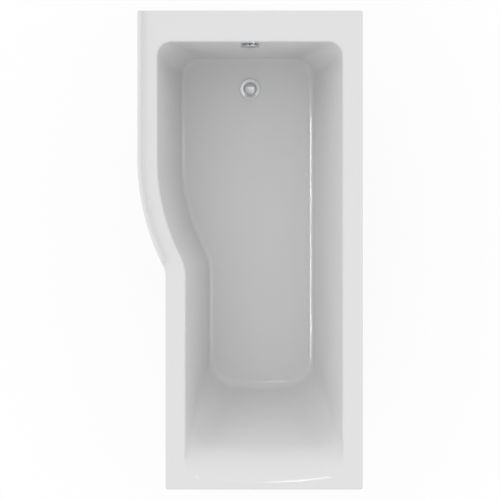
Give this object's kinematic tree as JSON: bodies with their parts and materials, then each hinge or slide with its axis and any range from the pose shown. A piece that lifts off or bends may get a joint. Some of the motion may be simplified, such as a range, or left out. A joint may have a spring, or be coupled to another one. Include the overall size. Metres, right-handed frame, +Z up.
{
  "type": "shower bath",
  "caption": "P-shaped acrylic shower bath on a levelling leg set, with a bowed lipped side, a sloping backrest, a pop-up waste worked by a knob on its overflow, and a trap.",
  "frame": {"origin": "on the room's floor, under the middle of the rim's outline", "axes": "+Y along the bath towards the waste, +X towards the wall the long straight edge meets, +Z up"},
  "size_m": [0.8, 1.7, 0.571],
  "materials": {
    "acrylic": "gloss white",
    "chipboard": "raw pressed chips",
    "timber": "planed softwood",
    "zinc_steel": "zinc plated",
    "foot_plastic": "moulded black",
    "white_plastic": "moulded white",
    "rubber": "moulded black",
    "chrome": "polished"
  },
  "bodies": {
    "bath": {"baseboard": "chipboard", "bath_shell": "acrylic", "centre_leg_bracket": "zinc_steel", "foot_leg_bar": "zinc_steel", "foot_rim_batten": "timber", "foot_wall_bracket": "zinc_steel", "front_rim_batten": "timber", "head_leg_bar": "zinc_steel", "head_wall_bracket": "zinc_steel", "leg_bar_screws": "zinc_steel", "leg_nuts": "zinc_steel", "lever_pin": "zinc_steel", "outlet_nut": "white_plastic", "outlet_seal": "rubber", "overflow_body": "white_plastic", "overflow_clamp_ring": "chrome", "overflow_pipe": "white_plastic", "overflow_seal": "rubber", "pipe_end_nut": "white_plastic", "pipe_top_nut": "white_plastic", "shower_rim_batten": "timber", "trap_body": "white_plastic", "trap_union_nut": "white_plastic", "trap_washer": "rubber", "wall_bracket_screws": "zinc_steel", "wall_rim_batten": "timber", "waste_body": "white_plastic", "waste_flange": "chrome", "waste_top_seal": "rubber", "waste_under_seal": "rubber"},
    "plug": {"plug_cap": "chrome", "plug_seal": "rubber", "plug_stem": "white_plastic"},
    "lift_lever": {"lift_lever": "white_plastic"},
    "overflow_knob": {"overflow_knob": "chrome", "knob_spindle": "zinc_steel"},
    "head_front_leg": {"head_front_leg_stud": "zinc_steel", "head_front_leg_pad": "foot_plastic"},
    "head_wall_leg": {"head_wall_leg_stud": "zinc_steel", "head_wall_leg_pad": "foot_plastic"},
    "foot_front_leg": {"foot_front_leg_stud": "zinc_steel", "foot_front_leg_pad": "foot_plastic"},
    "foot_wall_leg": {"foot_wall_leg_stud": "zinc_steel", "foot_wall_leg_pad": "foot_plastic"},
    "centre_leg": {"centre_leg_stud": "zinc_steel", "centre_leg_pad": "foot_plastic"}
  },
  "joints": [
    {"name": "knob_turn", "type": "hinge", "parent": "bath", "child": "overflow_knob", "pos_m": [0, 0.7313, 0.496], "axis": [0, -0.9897, 0.1435], "range_deg": [0, 90]},
    {"name": "plug_lift", "type": "slide", "parent": "bath", "child": "plug", "axis": [0, 0, 1], "range_m": [0, 0.012]},
    {"name": "lever_tilt", "type": "hinge", "parent": "bath", "child": "lift_lever", "pos_m": [-0.019, 0.575, 0.116], "axis": [0, -1, 0], "range_deg": [0, 36.8]},
    {"name": "head_front_leg_height", "type": "slide", "parent": "bath", "child": "head_front_leg", "axis": [0, 0, 1], "range_m": [-0.02, 0.02]},
    {"name": "head_wall_leg_height", "type": "slide", "parent": "bath", "child": "head_wall_leg", "axis": [0, 0, 1], "range_m": [-0.02, 0.02]},
    {"name": "foot_front_leg_height", "type": "slide", "parent": "bath", "child": "foot_front_leg", "axis": [0, 0, 1], "range_m": [-0.02, 0.02]},
    {"name": "foot_wall_leg_height", "type": "slide", "parent": "bath", "child": "foot_wall_leg", "axis": [0, 0, 1], "range_m": [-0.02, 0.02]},
    {"name": "centre_leg_height", "type": "slide", "parent": "bath", "child": "centre_leg", "axis": [0, 0, 1], "range_m": [-0.02, 0.02]}
  ],
  "couplings": [
    {"joint": "plug_lift", "follows": "knob_turn", "m_per_rad": 0.00763},
    {"joint": "lever_tilt", "follows": "knob_turn", "ratio": 0.4088}
  ]
}
